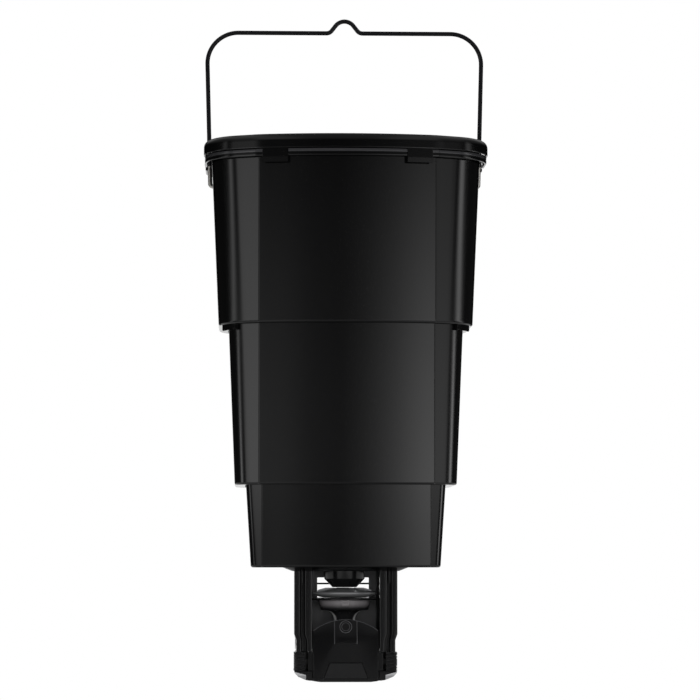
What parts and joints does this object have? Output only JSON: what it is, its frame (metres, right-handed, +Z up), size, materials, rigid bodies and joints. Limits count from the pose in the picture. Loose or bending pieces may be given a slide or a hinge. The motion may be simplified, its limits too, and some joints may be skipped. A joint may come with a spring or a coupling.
{
  "type": "spin cast feeder",
  "caption": "Hanging game feeder: a telescoping black hopper on a wire bail, with a spinner that throws feed sideways from a chamber over a timer unit.",
  "frame": {"origin": "the point under the hump of the bail where a hook carries the feeder", "axes": "+Z up along the hanging axis, -Y out of the front with the timer cover, +X to the right seen from the front"},
  "size_m": [0.324, 0.249, 0.7642],
  "materials": {
    "coated_wire": "gloss black coat over steel wire",
    "hopper_plastic": "satin moulded black",
    "unit_plastic": "satin moulded black",
    "cover_plastic": "semi-gloss black",
    "grip_plastic": "matte dark grey",
    "spinner_metal": "pressed, satin",
    "motor_steel": "plated",
    "screw_steel": "zinc plated",
    "board": "solder mask",
    "display_face": "display face",
    "key_rubber": "matte",
    "cell_can": "plain sleeve"
  },
  "bodies": {
    "bail": {"bail_wire": "coated_wire"},
    "hopper": {"upper_tier": "hopper_plastic"},
    "lid": {"lid": "hopper_plastic"},
    "middle": {"middle_tier": "hopper_plastic"},
    "lower": {"lower_tier": "hopper_plastic", "feed_funnel": "unit_plastic", "unit_frame": "unit_plastic", "guard_bar": "coated_wire", "frame_screws": "screw_steel"},
    "unit": {"motor_tower": "unit_plastic", "motor_can": "motor_steel", "motor_screws": "screw_steel", "tower_screws": "screw_steel", "control_box": "unit_plastic", "base_cover": "unit_plastic", "base_screws": "screw_steel", "cover_hinge_pin": "screw_steel", "control_panel": "grip_plastic", "circuit_board": "board", "board_screws": "screw_steel", "display": "display_face", "battery_tray": "grip_plastic", "battery_cells": "cell_can", "battery_contacts": "screw_steel", "battery_springs": "screw_steel"},
    "spinner": {"spinner_plate": "spinner_metal", "spinner_hub": "spinner_metal", "hub_set_screw": "screw_steel", "motor_shaft": "screw_steel"},
    "cover": {"front_cover": "cover_plastic"},
    "latch": {"cover_latch": "grip_plastic"},
    "left_clip": {"clip_left": "grip_plastic"},
    "right_clip": {"clip_right": "grip_plastic"},
    "mode_key": {"key_mode": "key_rubber"},
    "set_key": {"key_set": "key_rubber"},
    "up_key": {"key_up": "key_rubber"},
    "down_key": {"key_down": "key_rubber"}
  },
  "joints": [
    {"name": "hopper_swing", "type": "hinge", "parent": "bail", "child": "hopper", "pos_m": [0, 0, -0.1918], "axis": [1, 0, 0], "range_deg": [-20, 20]},
    {"name": "lid_lift", "type": "slide", "parent": "hopper", "child": "lid", "axis": [0, 0, 1], "range_m": [0, 0.04]},
    {"name": "middle_slide", "type": "slide", "parent": "hopper", "child": "middle", "axis": [0, 0, 1], "range_m": [0, 0.165]},
    {"name": "lower_slide", "type": "slide", "parent": "middle", "child": "lower", "axis": [0, 0, 1], "range_m": [0, 0.088]},
    {"name": "unit_drop", "type": "slide", "parent": "lower", "child": "unit", "axis": [0, 0, -1], "range_m": [0, 0.08]},
    {"name": "spinner_turn", "type": "hinge", "parent": "unit", "child": "spinner", "pos_m": [0, 0, -0.66], "axis": [0, 0, 1], "continuous": true},
    {"name": "cover_hinge", "type": "hinge", "parent": "unit", "child": "cover", "pos_m": [0, -0.039, -0.6928], "axis": [-1, 0, 0], "range_deg": [0, 95]},
    {"name": "latch_press", "type": "slide", "parent": "unit", "child": "latch", "axis": [0, 1, 0], "range_m": [0, 0.0015], "stiffness_N_per_m": 2500},
    {"name": "left_clip_press", "type": "slide", "parent": "unit", "child": "left_clip", "axis": [1, 0, 0], "range_m": [0, 0.002], "stiffness_N_per_m": 3000},
    {"name": "right_clip_press", "type": "slide", "parent": "unit", "child": "right_clip", "axis": [-1, 0, 0], "range_m": [0, 0.002], "stiffness_N_per_m": 3000},
    {"name": "mode_key_press", "type": "slide", "parent": "unit", "child": "mode_key", "axis": [0, 1, 0], "range_m": [0, 0.0008], "stiffness_N_per_m": 1500},
    {"name": "set_key_press", "type": "slide", "parent": "unit", "child": "set_key", "axis": [0, 1, 0], "range_m": [0, 0.0008], "stiffness_N_per_m": 1500},
    {"name": "up_key_press", "type": "slide", "parent": "unit", "child": "up_key", "axis": [0, 1, 0], "range_m": [0, 0.0008], "stiffness_N_per_m": 1500},
    {"name": "down_key_press", "type": "slide", "parent": "unit", "child": "down_key", "axis": [0, 1, 0], "range_m": [0, 0.0008], "stiffness_N_per_m": 1500}
  ]
}
